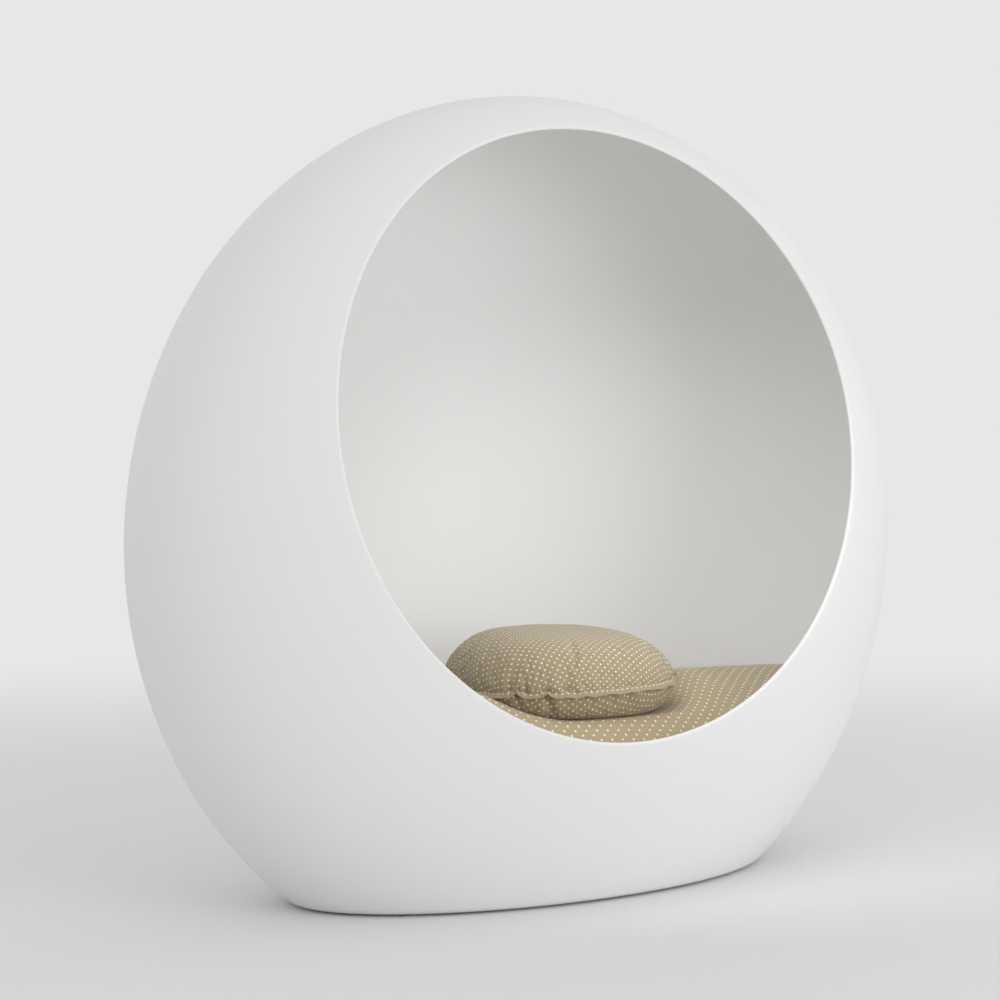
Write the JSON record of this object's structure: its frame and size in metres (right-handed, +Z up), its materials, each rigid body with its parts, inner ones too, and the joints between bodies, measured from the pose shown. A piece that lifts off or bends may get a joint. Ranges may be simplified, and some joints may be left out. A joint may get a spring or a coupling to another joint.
{
  "type": "pod chair",
  "caption": "Free-standing egg-shaped moulded pod seat with a round front opening, a fitted mattress on a hidden deck and a loose scatter pillow.",
  "frame": {"origin": "on the floor, under the middle of the part's overall box", "axes": "+Z up; the round opening faces -Y; +X to the right when the opening is seen from the front"},
  "size_m": [1.566, 0.7224, 1.43],
  "materials": {
    "gelcoat_white": "satin-gloss white moulded skin",
    "liner_white": "matt pale lining",
    "plywood": "sanded birch plywood",
    "nylon_black": "moulded nylon",
    "zinc_steel": "zinc plated",
    "spotted_fabric_large": "woven cotton with a pin-dot print, dots about 4 mm",
    "spotted_fabric_small": "woven cotton with a pin-dot print, dots about 3 mm",
    "foam": "open-cell foam",
    "fibre": "loose polyester fibre"
  },
  "bodies": {
    "shell": {"outer_shell_front": "gelcoat_white", "outer_shell_rear": "gelcoat_white", "inner_liner_front": "liner_white", "inner_liner_rear": "liner_white", "opening_rim": "gelcoat_white", "base_board": "plywood", "rib_left_outer": "plywood", "rib_left_inner": "plywood", "rib_right_inner": "plywood", "rib_right_outer": "plywood", "seat_deck": "plywood", "deck_screw_1": "zinc_steel", "deck_screw_2": "zinc_steel", "deck_screw_3": "zinc_steel", "deck_screw_4": "zinc_steel", "deck_screw_5": "zinc_steel", "deck_screw_6": "zinc_steel", "deck_screw_7": "zinc_steel", "deck_screw_8": "zinc_steel", "glide_1": "nylon_black", "glide_2": "nylon_black", "glide_3": "nylon_black", "glide_4": "nylon_black", "glide_5": "nylon_black", "glide_6": "nylon_black", "glide_screw_1": "zinc_steel", "glide_screw_2": "zinc_steel", "glide_screw_3": "zinc_steel", "glide_screw_4": "zinc_steel", "glide_screw_5": "zinc_steel", "glide_screw_6": "zinc_steel"},
    "seat_mattress": {"mattress_cover": "spotted_fabric_large", "mattress_core": "foam", "mattress_zip": "nylon_black"},
    "scatter_pillow": {"pillow_cover_top": "spotted_fabric_small", "pillow_cover_bottom": "spotted_fabric_small", "pillow_filling": "fibre"}
  },
  "joints": [
    {"name": "mattress_lift", "type": "slide", "parent": "shell", "child": "seat_mattress", "axis": [0, 0, 1], "range_m": [0, 0.3]},
    {"name": "pillow_lift_out", "type": "slide", "parent": "seat_mattress", "child": "scatter_pillow", "axis": [0, -0.9401, 0.341], "range_m": [0, 0.75]}
  ]
}
